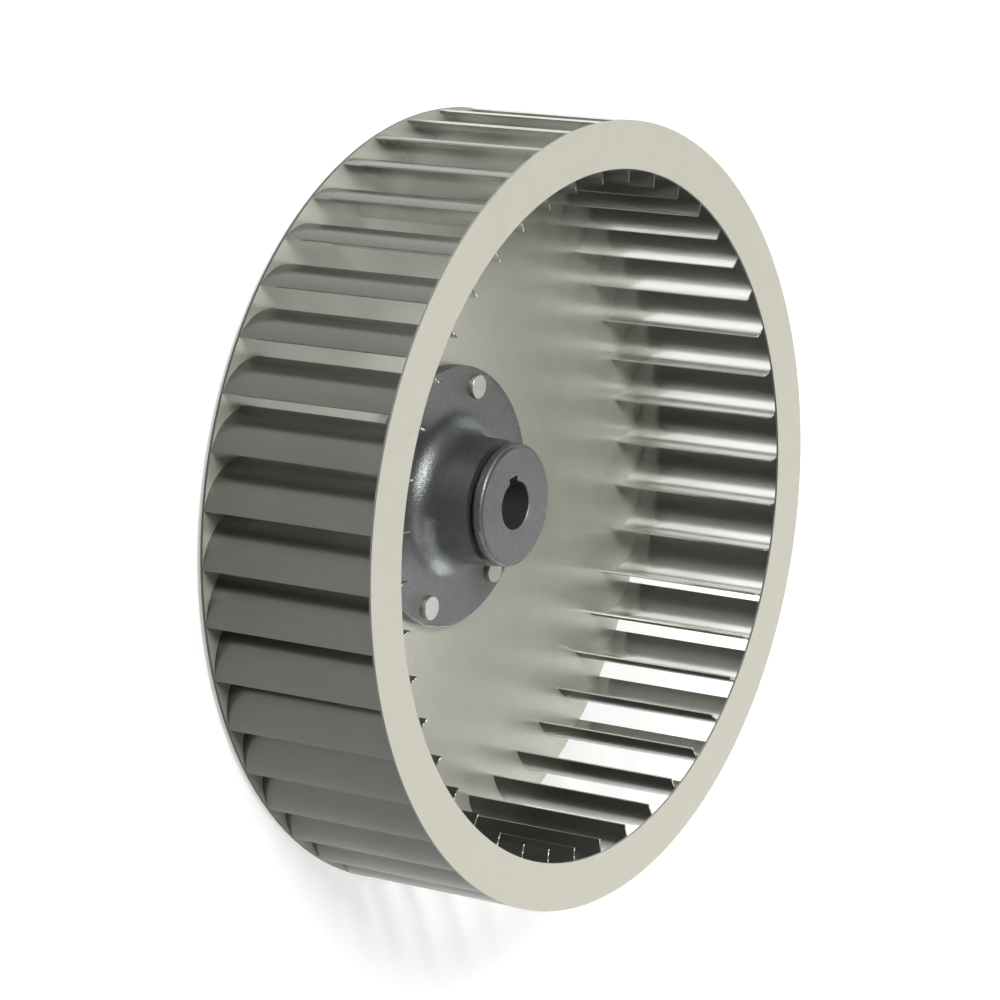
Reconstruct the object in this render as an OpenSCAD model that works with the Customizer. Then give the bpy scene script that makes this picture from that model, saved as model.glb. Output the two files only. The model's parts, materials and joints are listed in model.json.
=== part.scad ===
// Forward-curved centrifugal fan impeller: a riveted cast hub on a sheet back plate,
// curved sheet blades and an open inlet ring. It lies on its back: the axis is +Z,
// from the back plate to the inlet, the keyway is at +Y, and Z = 0 is the shoulder
// face at the back of the hub.

/* [Wheel] */
// Outside diameter of the wheel
wheel_d = 450; // [420:1:480]
// Width from the back of the plate to the front of the inlet ring
wheel_w = 112.5; // [80:0.5:180]
// Thickness of the back plate
plate_t = 1.5; // [0.8:0.1:3]
// Thickness of the inlet ring
ring_t = 1.2; // [0.8:0.1:3]
// Width of the inlet ring between its edges
ring_w = 27.5; // [15:0.5:40]

/* [Blades] */
// Number of blades
blade_count = 44; // [24:1:56]
// Thickness of a blade
blade_t = 1; // [0.6:0.1:1.6]
// How far the blades' inner edges stand inside the inlet ring's opening
blade_stand_in = 7.75; // [0:0.25:15]
// Angle that a blade's round section turns through
blade_turn = 91; // [50:1:96]
// Direction of the first blade's inner edge
blade_first_angle = 90; // [0:1:180]

/* [Hub] */
// Length of the hub from its shoulder face to its nose
hub_len = 56; // [48:0.5:75]
// Diameter of the shaft bore
bore_d = 28; // [19:1:32]
// Bevel at each end of the bore
bore_bevel = 0.5; // [0.2:0.1:1]
// Width of the keyway
key_w = 8; // [5:1:10]
// Depth of the keyway past the bore's wall
key_depth = 3.3; // [2:0.1:4]
// Direction of the keyway
key_angle = 90; // [0:1:180]
// Thickness of the flange
flange_t = 7.5; // [5:0.5:10]
// Width of the flange's flat seat, outside the fillet
flange_flat = 24; // [20:0.5:40]
// Diameter at which the fillet runs out on the flange
fillet_foot_d = 105; // [100:0.5:116]
// Radius of the fillet from the flange to the neck
neck_fillet = 15; // [8:0.5:16]
// Draft angle of the cast neck
neck_draft = 3; // [1:0.5:5]
// Diameter of the collar at the nose
collar_d = 71.5; // [67:0.5:76]
// Depth of the groove below the collar
groove_depth = 4.75; // [3:0.25:8]
// Width of the groove
groove_w = 4.5; // [3:0.5:7]
// Width of the collar
collar_w = 5; // [4:0.5:8]
// Rounding of the collar's front edge
collar_round = 2.7; // [1:0.1:3.5]
// Rounding of the flange's front edge
flange_round = 0.6; // [0.3:0.1:1.5]
// Diameter of the register that centres the plate
register_d = 68; // [60:1:80]
// Height of the shoulder face behind the plate
register_proud = 3; // [2.5:0.5:6]

/* [Rivets] */
// Number of rivets through the flange
rivet_count = 6; // [3:1:12]
// Distance from the flange's rim to a rivet's centre
rivet_edge = 10.5; // [8:0.5:12]
// Direction of the first rivet
rivet_first_angle = 0; // [0:1:120]
// Diameter of a rivet's shank
shank_d = 8; // [5:0.5:9]
// Diameter of a rivet's head
head_d = 14; // [11:0.5:15]
// Height of a rivet's head
head_h = 2.3; // [1.5:0.1:4]
// Rounding of a rivet's head
head_round = 0.4; // [0.2:0.1:1]
// Diameter of a rivet's formed tail
tail_d = 13; // [11:0.5:15]
// Height of a rivet's formed tail
tail_h = 2; // [1.4:0.1:2.4]
// Rounding of a rivet's formed tail
tail_round = 1.1; // [0.4:0.1:1.3]

/* [Hidden] */
$fn = 144;
// How far a cutter passes the face that it cuts
past = 1;

inlet_r = wheel_d / 2 - ring_w;

// Heights above the shoulder face
plate_back_z = register_proud;
plate_front_z = plate_back_z + plate_t;
ring_front_z = plate_back_z + wheel_w;
ring_back_z = ring_front_z - ring_t;
flange_front_z = plate_front_z + flange_t;
groove_front_z = hub_len - collar_w;
groove_back_z = groove_front_z - groove_w;

// A blade's section is one arc, radial at its inner edge. Its radius is the one with which
// it turns through blade_turn just as its outer face reaches the wheel's rim.
blade_inner_r = inlet_r - blade_stand_in;
blade_tip_r = (wheel_d - blade_t) / 2;
chord_term = 2 * (1 - cos(blade_turn));
lean_term = blade_inner_r * sin(blade_turn);
reach_term = pow(blade_tip_r, 2) - pow(blade_inner_r, 2);
section_r = (sqrt(pow(lean_term, 2) + chord_term * reach_term) - lean_term) / chord_term;
blade_pitch = 360 / blade_count;

// The fillet touches the flange at its foot and the neck's cone at its top
fillet_r = fillet_foot_d / 2;
fillet_z = flange_front_z + neck_fillet;
fillet_top_r = fillet_r - neck_fillet * cos(neck_draft);
fillet_top_z = fillet_z - neck_fillet * sin(neck_draft);
neck_top_r = fillet_top_r - (groove_back_z - fillet_top_z) * tan(neck_draft);
groove_r = collar_d / 2 - groove_depth;
flange_r = fillet_r + flange_flat;
rivet_r = flange_r - rivet_edge;

function blade_name(i) = str("blade_", i < 10 ? "0" : "", i);

// Half section of a disc whose top outer edge is rounded
module round_edged_half(r, h, edge) {
    square([r, h - edge]);
    square([r - edge, h]);
    translate([r - edge, h - edge])
        intersection() {
            circle(edge);
            square(edge);
        }
}

// Places its children at each rivet
module at_rivets() {
    for (i = [0 : rivet_count - 1])
        rotate(rivet_first_angle + i * 360 / rivet_count)
            translate([rivet_r, 0, 0])
                children();
}

// Flat annular sheet that ties the blades' front ends
module front_ring() {
    color([0.79, 0.78, 0.72])
        translate([0, 0, ring_back_z])
            difference() {
                cylinder(d = wheel_d, h = ring_t);
                translate([0, 0, -past]) cylinder(r = inlet_r, h = ring_t + 2 * past);
            }
}

// Sheet disc with a hole for the hub's register and a hole for each rivet
module back_plate() {
    color([0.62, 0.62, 0.58])
        translate([0, 0, plate_back_z])
            difference() {
                cylinder(d = wheel_d, h = plate_t);
                translate([0, 0, -past]) {
                    cylinder(d = register_d, h = plate_t + 2 * past);
                    at_rivets() cylinder(d = shank_d, h = plate_t + 2 * past);
                }
            }
}

// Neck and its concave fillet, in half section
module neck_half() {
    difference() {
        polygon([
            [0, flange_front_z],
            [fillet_r, flange_front_z],
            [fillet_top_r, fillet_top_z],
            [neck_top_r, groove_back_z],
            [0, groove_back_z]
        ]);
        translate([fillet_r, fillet_z]) circle(neck_fillet);
    }
}

// Register, flange, neck, groove and collar, in half section
module hub_half() {
    square([register_d / 2, plate_front_z]);
    translate([0, plate_front_z]) round_edged_half(flange_r, flange_t, flange_round);
    neck_half();
    square([groove_r, groove_front_z]);
    translate([0, groove_front_z]) round_edged_half(collar_d / 2, collar_w, collar_round);
}

// Bevelled mouth of the bore, widest at the hub's end face
module bore_mouth() {
    cylinder(d1 = bore_d, d2 = bore_d + 2 * (bore_bevel + past), h = bore_bevel + past);
}

// Turned and bored casting with a keyway along its whole length
module hub() {
    color([0.45, 0.46, 0.45])
        difference() {
            rotate_extrude() hub_half();
            translate([0, 0, -past]) cylinder(d = bore_d, h = hub_len + 2 * past);
            translate([0, 0, hub_len - bore_bevel]) bore_mouth();
            translate([0, 0, bore_bevel]) mirror([0, 0, 1]) bore_mouth();
            rotate(key_angle)
                translate([0, -key_w / 2, -past])
                    cube([bore_d / 2 + key_depth, key_w, hub_len + 2 * past]);
            at_rivets() cylinder(d = shank_d, h = flange_front_z + past);
        }
}

// Solid rivet: shank, flat head on the flange and formed tail behind the plate
module rivet() {
    rotate_extrude() {
        translate([0, plate_back_z]) square([shank_d / 2, flange_front_z - plate_back_z]);
        translate([0, flange_front_z]) round_edged_half(head_d / 2, head_h, head_round);
        translate([0, plate_back_z]) mirror([0, 1]) round_edged_half(tail_d / 2, tail_h, tail_round);
    }
}

module hub_rivets() {
    color([0.66, 0.66, 0.63]) at_rivets() rivet();
}

// Round section of a blade, with its inner edge on the X axis
module blade_section() {
    reach = 2 * (section_r + blade_t);
    turns = [for (quarter = [0 : 4]) quarter * blade_turn / 4];
    translate([blade_inner_r, section_r])
        intersection() {
            difference() {
                circle(section_r + blade_t / 2);
                circle(section_r - blade_t / 2);
            }
            polygon(concat([[0, 0]], [for (a = turns) reach * [sin(a), -cos(a)]]));
        }
}

// Rolled sheet blade between the plate and the ring
module blade(i) {
    color([0.46, 0.48, 0.45])
        rotate(blade_first_angle + (i - 1) * blade_pitch)
            translate([0, 0, plate_front_z])
                linear_extrude(ring_back_z - plate_front_z)
                    blade_section();
}

front_ring();
back_plate();
hub();
hub_rivets();
for (i = [1 : blade_count]) {
    blade(i);
}
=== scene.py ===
import json
import math
from functools import partial

import bpy
import numpy as np
from mathutils import Matrix, Vector

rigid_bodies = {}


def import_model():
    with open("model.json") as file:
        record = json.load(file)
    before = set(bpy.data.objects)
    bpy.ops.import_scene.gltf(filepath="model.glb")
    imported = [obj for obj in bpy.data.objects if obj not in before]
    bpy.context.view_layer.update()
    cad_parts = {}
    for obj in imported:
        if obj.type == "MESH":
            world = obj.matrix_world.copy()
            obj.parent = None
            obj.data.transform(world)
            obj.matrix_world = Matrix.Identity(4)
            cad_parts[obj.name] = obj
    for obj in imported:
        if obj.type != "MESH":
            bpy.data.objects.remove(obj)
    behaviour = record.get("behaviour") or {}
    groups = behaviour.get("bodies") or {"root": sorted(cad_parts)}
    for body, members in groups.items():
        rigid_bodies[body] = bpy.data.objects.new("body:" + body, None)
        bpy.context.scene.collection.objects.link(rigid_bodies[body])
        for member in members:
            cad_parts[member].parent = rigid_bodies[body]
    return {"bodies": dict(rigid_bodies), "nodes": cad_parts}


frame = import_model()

# Blender's own starting cube, lamp and camera go, so that only the wheel is measured
wheelObjects = set(frame["nodes"].values()) | set(frame["bodies"].values())
for thing in list(bpy.data.objects):
    if thing not in wheelObjects:
        bpy.data.objects.remove(thing)
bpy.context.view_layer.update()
scene = bpy.context.scene
print("frame loaded with", len(frame["nodes"]), "nodes")


# Camera: where the photograph was taken from, in metres. The wheel lies on its back here, so
# the camera is rolled to show it upright, as the photograph does.
camera = {
    "place": (-1.7658, 0.7451, 1.2935),
    "aim": (0.0, 0.0021, 0.0453),
    "upright": (0.3135, 0.9423, -0.1174),   # this direction points up in the picture
    "lens": 143.0,                          # millimetres
    "sensor": 36.0,
    "nearest": 0.05,                        # metres between which the camera sees
    "farthest": 50.0,
}


def placeCamera(settings):
    place = Vector(settings["place"])
    forward = (Vector(settings["aim"]) - place).normalized()
    right = forward.cross(Vector(settings["upright"])).normalized()
    up = right.cross(forward)
    data = bpy.data.cameras.new("camera")
    data.lens = settings["lens"]
    data.sensor_width = settings["sensor"]
    data.clip_start, data.clip_end = settings["nearest"], settings["farthest"]
    eye = bpy.data.objects.new("camera", data)
    scene.collection.objects.link(eye)
    turn = Matrix((right, up, -forward)).transposed().to_4x4()
    eye.matrix_world = Matrix.Translation(place) @ turn
    scene.camera = eye


placeCamera(camera)
print("camera placed")


def linearColour(hexValue):
    # An sRGB hex string as linear red, green and blue, with an alpha of 1
    values = [int(hexValue[i:i + 2], 16) / 255 for i in (1, 3, 5)]
    return [v / 12.92 if v <= 0.04045 else ((v + 0.055) / 1.055) ** 2.4 for v in values] + [1.0]


def addNode(tree, kind, settings=None, links=None):
    # Settings go to a node's properties or, under an input's name or number, to that input. In a
    # Mix node, 0 is the factor, 2 and 3 are two numbers to mix, and 6 and 7 two colours.
    node = tree.nodes.new(kind)
    for name, value in (settings or {}).items():
        if isinstance(name, str) and hasattr(node, name):
            setattr(node, name, value)
        else:
            node.inputs[name].default_value = value
    for name, source in (links or {}).items():
        tree.links.new(source, node.inputs[name])
    return node


def newMaterial(name):
    # An empty material, and addNode made ready for its tree
    material = bpy.data.materials.new(name)
    material.use_nodes = True
    material.node_tree.nodes.clear()
    return material, partial(addNode, material.node_tree)


def finishMaterial(material, shader):
    addNode(material.node_tree, "ShaderNodeOutputMaterial", links={"Surface": shader.outputs[0]})
    return material


def addRadius(add, place):
    # Distance from the wheel's axis: the length of the place with its Z taken out
    flat = add("ShaderNodeVectorMath", {"operation": "MULTIPLY", 1: (1, 1, 0)}, {0: place})
    length = add("ShaderNodeVectorMath", {"operation": "LENGTH"}, {0: flat.outputs[0]})
    return length.outputs["Value"]


# Noise that the finishes share: octaves of a fine and of a soft one, and where most values lie
fineDetail = 2.0
softDetail = 3.0
commonLow, commonHigh = 0.3, 0.7

# Hot-dip galvanised sheet, laser cut: pale warm satin zinc with a faint spangle and darker
# cut edges
ringLook = {
    "name": "galvanisedSheetRing",
    "dark": "#b8b6a8", "pale": "#bcbaac", "edge": "#6f706b",
    "spangle": 0.009,           # metres across one zinc flower
    "grain": 0.0009,            # coarser than the real skin-pass grain, so that it shows
    "roughness": (0.46, 0.54),
    "metallic": 0.25,           # a dull zinc film hides most of the metal
    "grainDepth": 0.00002,
    "outerEdge": 0.2249,        # outside this radius and inside the next the surface is a cut edge
    "innerEdge": 0.1976,
}
plateLook = {
    "name": "galvanisedSheetPlate",
    "dark": "#bab9ae", "pale": "#bebdb2", "edge": "#4c4e4b",
    "spangle": 0.009,
    "grain": 0.0009,
    "roughness": (0.32, 0.38),
    "metallic": 0.5,            # glossier zinc than the ring's, to mirror the blades softly
    "grainDepth": 0.00002,
    "outerEdge": 0.2249,
    "innerEdge": 0.0341,
}


def galvanisedSheet(look):
    material, add = newMaterial(look["name"])
    place = add("ShaderNodeTexCoord").outputs["Object"]
    flowers = add("ShaderNodeTexVoronoi", {"Scale": 1 / look["spangle"]}, {"Vector": place})
    flower = add("ShaderNodeRGBToBW", links={"Color": flowers.outputs["Color"]})
    tone = add("ShaderNodeMix", {"data_type": "RGBA", 6: linearColour(look["dark"]),
                                 7: linearColour(look["pale"])}, {0: flower.outputs[0]})
    radius = addRadius(add, place)
    outside = add("ShaderNodeMath", {"operation": "GREATER_THAN", 1: look["outerEdge"]},
                  {0: radius})
    inside = add("ShaderNodeMath", {"operation": "LESS_THAN", 1: look["innerEdge"]}, {0: radius})
    cut = add("ShaderNodeMath", {"operation": "MAXIMUM"},
              {0: outside.outputs[0], 1: inside.outputs[0]})
    colour = add("ShaderNodeMix", {"data_type": "RGBA", 7: linearColour(look["edge"])},
                 {0: cut.outputs[0], 6: tone.outputs[2]})
    low, high = look["roughness"]
    gloss = add("ShaderNodeMapRange", {"To Min": low, "To Max": high},
                {"Value": flower.outputs[0]})
    grain = add("ShaderNodeTexNoise", {"Scale": 1 / look["grain"], "Detail": fineDetail},
                {"Vector": place})
    bump = add("ShaderNodeBump", {"Distance": look["grainDepth"]}, {"Height": grain.outputs["Fac"]})
    shader = add("ShaderNodeBsdfPrincipled", {"Metallic": look["metallic"]},
                 {"Base Color": colour.outputs[2], "Roughness": gloss.outputs[0],
                  "Normal": bump.outputs[0]})
    return finishMaterial(material, shader)


# Cold-rolled steel strip, roll formed and oiled: greyer than the zinc, with the mill's fine lines
# along the blade. The convex side is rougher and painted dark, as painted shade; the concave side
# is glossier, with clear reflections, and painted pale, as a painted reflection.
bladeLook = {
    "name": "coldRolledSteelBlade",
    "dark": "#4a4c46", "pale": "#54564f",               # the convex side, painted dark as painted shade
    "hollowPaintedReflectionDark": "#d6d8d2", "hollowPaintedReflectionPale": "#e0e2dc",   # the concave side, painted pale as a painted reflection
    "line": 0.0011,             # metres between mill lines, drawn coarser than real
    "lineStretch": 0.04,        # lines run 25 times as long as they are wide
    "cloud": 0.035,             # metres across a patch of paler steel
    "roughness": (0.34, 0.44),
    "hollowRoughness": (0.13, 0.2),
    "metallic": 0.9,
    "oil": 1.0,                 # share of the surface under a thin film of rolling oil
    "oilRoughness": 0.2,
    "lineDepth": 0.00001,
}


def rolledStrip(look):
    material, add = newMaterial(look["name"])
    coordinates = add("ShaderNodeTexCoord").outputs
    place, normal = coordinates["Object"], coordinates["Normal"]
    along = add("ShaderNodeMapping", {"Scale": (1, 1, look["lineStretch"])}, {"Vector": place})
    lines = add("ShaderNodeTexNoise", {"Scale": 1 / look["line"], "Detail": fineDetail},
                {"Vector": along.outputs[0]}).outputs["Fac"]
    cloud = add("ShaderNodeTexNoise", {"Scale": 1 / look["cloud"], "Detail": softDetail},
                {"Vector": place}).outputs["Fac"]
    # A blade turns from radial to tangential, so on its concave side the normal's product with
    # (around - outwards) is above 0
    flat = add("ShaderNodeVectorMath", {"operation": "MULTIPLY", 1: (1, 1, 0)}, {0: place})
    outwards = add("ShaderNodeVectorMath", {"operation": "NORMALIZE"},
                   {0: flat.outputs[0]}).outputs[0]
    around = add("ShaderNodeVectorMath", {"operation": "CROSS_PRODUCT", 0: (0, 0, 1)},
                 {1: outwards})
    lean = add("ShaderNodeVectorMath", {"operation": "SUBTRACT"},
               {0: around.outputs[0], 1: outwards})
    side = add("ShaderNodeVectorMath", {"operation": "DOT_PRODUCT"},
               {0: normal, 1: lean.outputs[0]})
    hollow = add("ShaderNodeMath", {"operation": "GREATER_THAN", 1: 0.0},
                 {0: side.outputs["Value"]}).outputs[0]
    # Painted light: the concave side gets a pale colour as a painted reflection, the convex side a
    # dark one as painted shade
    tones = [add("ShaderNodeMix", {"data_type": "RGBA", 6: linearColour(look[dark]),
                                   7: linearColour(look[pale])}, {0: cloud}).outputs[2]
             for dark, pale in (("dark", "pale"), ("hollowPaintedReflectionDark", "hollowPaintedReflectionPale"))]
    tone = add("ShaderNodeMix", {"data_type": "RGBA"}, {0: hollow, 6: tones[0], 7: tones[1]})
    glosses = [add("ShaderNodeMapRange", {"From Min": commonLow, "From Max": commonHigh,
                                          "To Min": low, "To Max": high},
                   {"Value": lines}).outputs[0]
               for low, high in (look["roughness"], look["hollowRoughness"])]
    gloss = add("ShaderNodeMix", links={0: hollow, 2: glosses[0], 3: glosses[1]})
    bump = add("ShaderNodeBump", {"Distance": look["lineDepth"]}, {"Height": lines})
    shader = add("ShaderNodeBsdfPrincipled",
                 {"Metallic": look["metallic"], "Coat Weight": look["oil"],
                  "Coat Roughness": look["oilRoughness"]},
                 {"Base Color": tone.outputs[2], "Roughness": gloss.outputs[0],
                  "Normal": bump.outputs[0]})
    return finishMaterial(material, shader)


# Grey cast iron, shot blasted and oiled: dark and slightly blue, with a grain that glints
# where it catches a lamp, and shallow turned rings on the machined nose
hubLook = {
    "name": "castIronHub",
    "dark": "#717473", "pale": "#7b7e7c",
    "grain": 0.0009,            # metres across a casting grain
    "cloud": 0.02,              # metres across a patch of paler iron
    "roughness": (0.26, 0.4),
    "metallic": 0.8,
    "grainDepth": 0.0005,
    "grainStrength": 0.6,
    "turning": 0.0009,          # metres between turned rings, drawn coarser than real
    "turnedDepth": 0.00001,
    "turnedFrom": 0.0463,       # the nose is machined above this height
}


def castIron(look):
    material, add = newMaterial(look["name"])
    place = add("ShaderNodeTexCoord").outputs["Object"]
    grain = add("ShaderNodeTexNoise", {"Scale": 1 / look["grain"], "Detail": fineDetail},
                {"Vector": place}).outputs["Fac"]
    cloud = add("ShaderNodeTexNoise", {"Scale": 1 / look["cloud"], "Detail": softDetail},
                {"Vector": place}).outputs["Fac"]
    tone = add("ShaderNodeMix", {"data_type": "RGBA", 6: linearColour(look["dark"]),
                                 7: linearColour(look["pale"])}, {0: cloud})
    low, high = look["roughness"]
    gloss = add("ShaderNodeMapRange", {"From Min": commonLow, "From Max": commonHigh,
                                       "To Min": low, "To Max": high}, {"Value": grain})
    # Turned rings: the sine of radius plus height, so that they run round the nose's face and
    # round its side
    height = add("ShaderNodeSeparateXYZ", links={0: place}).outputs["Z"]
    turned = add("ShaderNodeMath", {"operation": "GREATER_THAN", 1: look["turnedFrom"]},
                 {0: height})
    rings = add("ShaderNodeMath", {"operation": "ADD"}, {0: addRadius(add, place), 1: height})
    rings = add("ShaderNodeMath", {"operation": "MULTIPLY", 1: 2 * math.pi / look["turning"]},
                {0: rings.outputs[0]})
    rings = add("ShaderNodeMath", {"operation": "SINE"}, {0: rings.outputs[0]})
    rings = add("ShaderNodeMath", {"operation": "MULTIPLY"},
                {0: rings.outputs[0], 1: turned.outputs[0]})
    turnedBump = add("ShaderNodeBump", {"Distance": look["turnedDepth"]},
                     {"Height": rings.outputs[0]})
    bump = add("ShaderNodeBump",
               {"Distance": look["grainDepth"], "Strength": look["grainStrength"]},
               {"Height": grain, "Normal": turnedBump.outputs[0]})
    shader = add("ShaderNodeBsdfPrincipled", {"Metallic": look["metallic"]},
                 {"Base Color": tone.outputs[2], "Roughness": gloss.outputs[0],
                  "Normal": bump.outputs[0]})
    return finishMaterial(material, shader)


# Zinc-plated steel rivets, pressed flat: pale, with a little mottling from the tool
rivetLook = {
    "name": "platedSteelRivet",
    "dark": "#c0c1ba", "pale": "#cfd0c9",
    "mottle": 0.003,            # metres across one dent of the tool
    "roughness": (0.32, 0.42),
    "metallic": 0.8,
    "mottleDepth": 0.00005,
}


def platedSteel(look):
    material, add = newMaterial(look["name"])
    place = add("ShaderNodeTexCoord").outputs["Object"]
    mottle = add("ShaderNodeTexNoise", {"Scale": 1 / look["mottle"], "Detail": softDetail},
                 {"Vector": place}).outputs["Fac"]
    tone = add("ShaderNodeMix", {"data_type": "RGBA", 6: linearColour(look["dark"]),
                                 7: linearColour(look["pale"])}, {0: mottle})
    low, high = look["roughness"]
    gloss = add("ShaderNodeMapRange", {"To Min": low, "To Max": high}, {"Value": mottle})
    bump = add("ShaderNodeBump", {"Distance": look["mottleDepth"]}, {"Height": mottle})
    shader = add("ShaderNodeBsdfPrincipled", {"Metallic": look["metallic"]},
                 {"Base Color": tone.outputs[2], "Roughness": gloss.outputs[0],
                  "Normal": bump.outputs[0]})
    return finishMaterial(material, shader)


ownMaterial = {
    "front_ring": galvanisedSheet(ringLook),
    "back_plate": galvanisedSheet(plateLook),
    "hub": castIron(hubLook),
    "hub_rivets": platedSteel(rivetLook),
}
bladeMaterial = rolledStrip(bladeLook)
print("finishes made")

for nodeName, nodeObject in frame["nodes"].items():
    slots = nodeObject.data.materials
    slots.clear()
    slots.append(ownMaterial.get(nodeName, bladeMaterial))
print("nodes dressed")


# Studio: a pale floor that shows white to the camera and in reflections and keeps the shadow.
# Away from the wheel it glows by itself, and its edge curves up, so that low views end in
# white too.
studio = {
    "floorRadius": 16.0,        # metres from the axis to where the floor starts to curve up
    "coveRadius": 4.0,
    "coveSteps": 12,
    "roundSteps": 96,
    "floorColour": "#dededc",
    "glow": (0.354, 1.0),       # beside the wheel, where the lamps do the rest, and away from it
    "glowFade": (1.0, 1.9),     # metres from the axis over which the one passes into the other
    "skyColour": "#ffffff",
    "skyStrength": 0.05,
    "centre": (0, 0, 0.05),     # the lamps face this point
    "lampDistance": 2.6,
}

# Softboxes round the wheel: azimuth from +X towards +Y and height above the floor in degrees,
# width and height of the box in metres, and watts. The low strips rake the blades, and the boxes
# light the sheet and the hub from above.
softboxes = {
    "rakingStrip": {"azimuth": 44, "height": 7, "wide": 1.2, "tall": 0.35, "power": 82},
    "keyBox": {"azimuth": 73, "height": 27, "wide": 1.2, "tall": 1.2, "power": 8},
    "topStrip": {"azimuth": 86, "height": 7, "wide": 1.0, "tall": 0.35, "power": 40},
    "sideBox": {"azimuth": 235, "height": 48, "wide": 1.8, "tall": 1.2, "power": 12},
    "sideStrip": {"azimuth": 292, "height": 8, "wide": 1.4, "tall": 0.35, "power": 100},
    "rearBox": {"azimuth": -35, "height": 38, "wide": 1.6, "tall": 1.2, "power": 9},
    "rearStrip": {"azimuth": -25, "height": 7, "wide": 2.2, "tall": 0.35, "power": 21},
    "frontBox": {"azimuth": 122, "height": 50, "wide": 0.9, "tall": 0.7, "power": 52},
}


def paleFloor(settings):
    # Matt pale paint, and a glow that only camera, glossy and transmission rays see
    material, add = newMaterial("paleFloor")
    path = add("ShaderNodeLightPath").outputs
    seen = add("ShaderNodeMath", {"operation": "MAXIMUM"},
               {0: path["Is Camera Ray"], 1: path["Is Glossy Ray"]})
    seen = add("ShaderNodeMath", {"operation": "MAXIMUM"},
               {0: seen.outputs[0], 1: path["Is Transmission Ray"]})
    radius = addRadius(add, add("ShaderNodeTexCoord").outputs["Object"])
    fadeFrom, fadeTo = settings["glowFade"]
    fade = add("ShaderNodeMapRange", {"interpolation_type": "SMOOTHSTEP", "From Min": fadeFrom,
                                      "From Max": fadeTo, "To Min": settings["glow"][0],
                                      "To Max": settings["glow"][1]}, {"Value": radius})
    glow = add("ShaderNodeMath", {"operation": "MULTIPLY"},
               {0: seen.outputs[0], 1: fade.outputs[0]})
    paint = add("ShaderNodeBsdfDiffuse", {"Color": linearColour(settings["floorColour"])})
    light = add("ShaderNodeEmission", {"Color": (1, 1, 1, 1)}, {"Strength": glow.outputs[0]})
    both = add("ShaderNodeAddShader", links={0: paint.outputs[0], 1: light.outputs[0]})
    return finishMaterial(material, both)


def makeFloor(settings):
    # A quarter circle carried round the axis. At turn t the radius is
    # floorRadius + coveRadius * sin t, and the height is coveRadius * (1 - cos t).
    # The innermost circle is closed by one flat face.
    turn = np.linspace(0, math.pi / 2, settings["coveSteps"] + 1)[:, None]
    angle = np.linspace(0, 2 * math.pi, settings["roundSteps"], endpoint=False)[None, :]
    radius = settings["floorRadius"] + settings["coveRadius"] * np.sin(turn)
    height = settings["coveRadius"] * (1 - np.cos(turn)) + 0 * angle
    points = np.stack([radius * np.cos(angle), radius * np.sin(angle), height], axis=-1)
    points = points.reshape(-1, 3)
    index = np.arange(len(points)).reshape(len(turn), -1)
    following = np.roll(index, -1, axis=1)
    quads = np.stack([index[:-1], index[1:], following[1:], following[:-1]], axis=-1).reshape(-1, 4)
    mesh = bpy.data.meshes.new("floor")
    mesh.from_pydata(points.tolist(), [], quads.tolist() + [index[0].tolist()])
    floor = bpy.data.objects.new("floor", mesh)
    scene.collection.objects.link(floor)
    mesh.materials.append(paleFloor(settings))


def makeSky(settings):
    world = bpy.data.worlds.new("studio")
    scene.world = world
    world.use_nodes = True
    world.node_tree.nodes.clear()
    sky = addNode(world.node_tree, "ShaderNodeBackground",
                  {"Color": linearColour(settings["skyColour"]),
                   "Strength": settings["skyStrength"]})
    addNode(world.node_tree, "ShaderNodeOutputWorld", links={"Surface": sky.outputs[0]})


def makeSoftbox(name, box, settings):
    # The lamp stands at centre + lampDistance * outwards, and outwards is
    # (cos height * cos azimuth, cos height * sin azimuth, sin height)
    azimuth, height = math.radians(box["azimuth"]), math.radians(box["height"])
    outwards = Vector((math.cos(height) * math.cos(azimuth), math.cos(height) * math.sin(azimuth),
                       math.sin(height)))
    data = bpy.data.lights.new(name, "AREA")
    data.shape = "RECTANGLE"
    data.size, data.size_y = box["wide"], box["tall"]
    data.energy = box["power"]
    lamp = bpy.data.objects.new(name, data)
    scene.collection.objects.link(lamp)
    place = Matrix.Translation(Vector(settings["centre"]) + settings["lampDistance"] * outwards)
    lamp.matrix_world = place @ outwards.to_track_quat("Z", "Y").to_matrix().to_4x4()


makeFloor(studio)
makeSky(studio)
for name, box in softboxes.items():
    makeSoftbox(name, box, studio)
scene.view_settings.view_transform = "Standard"
print("studio made")
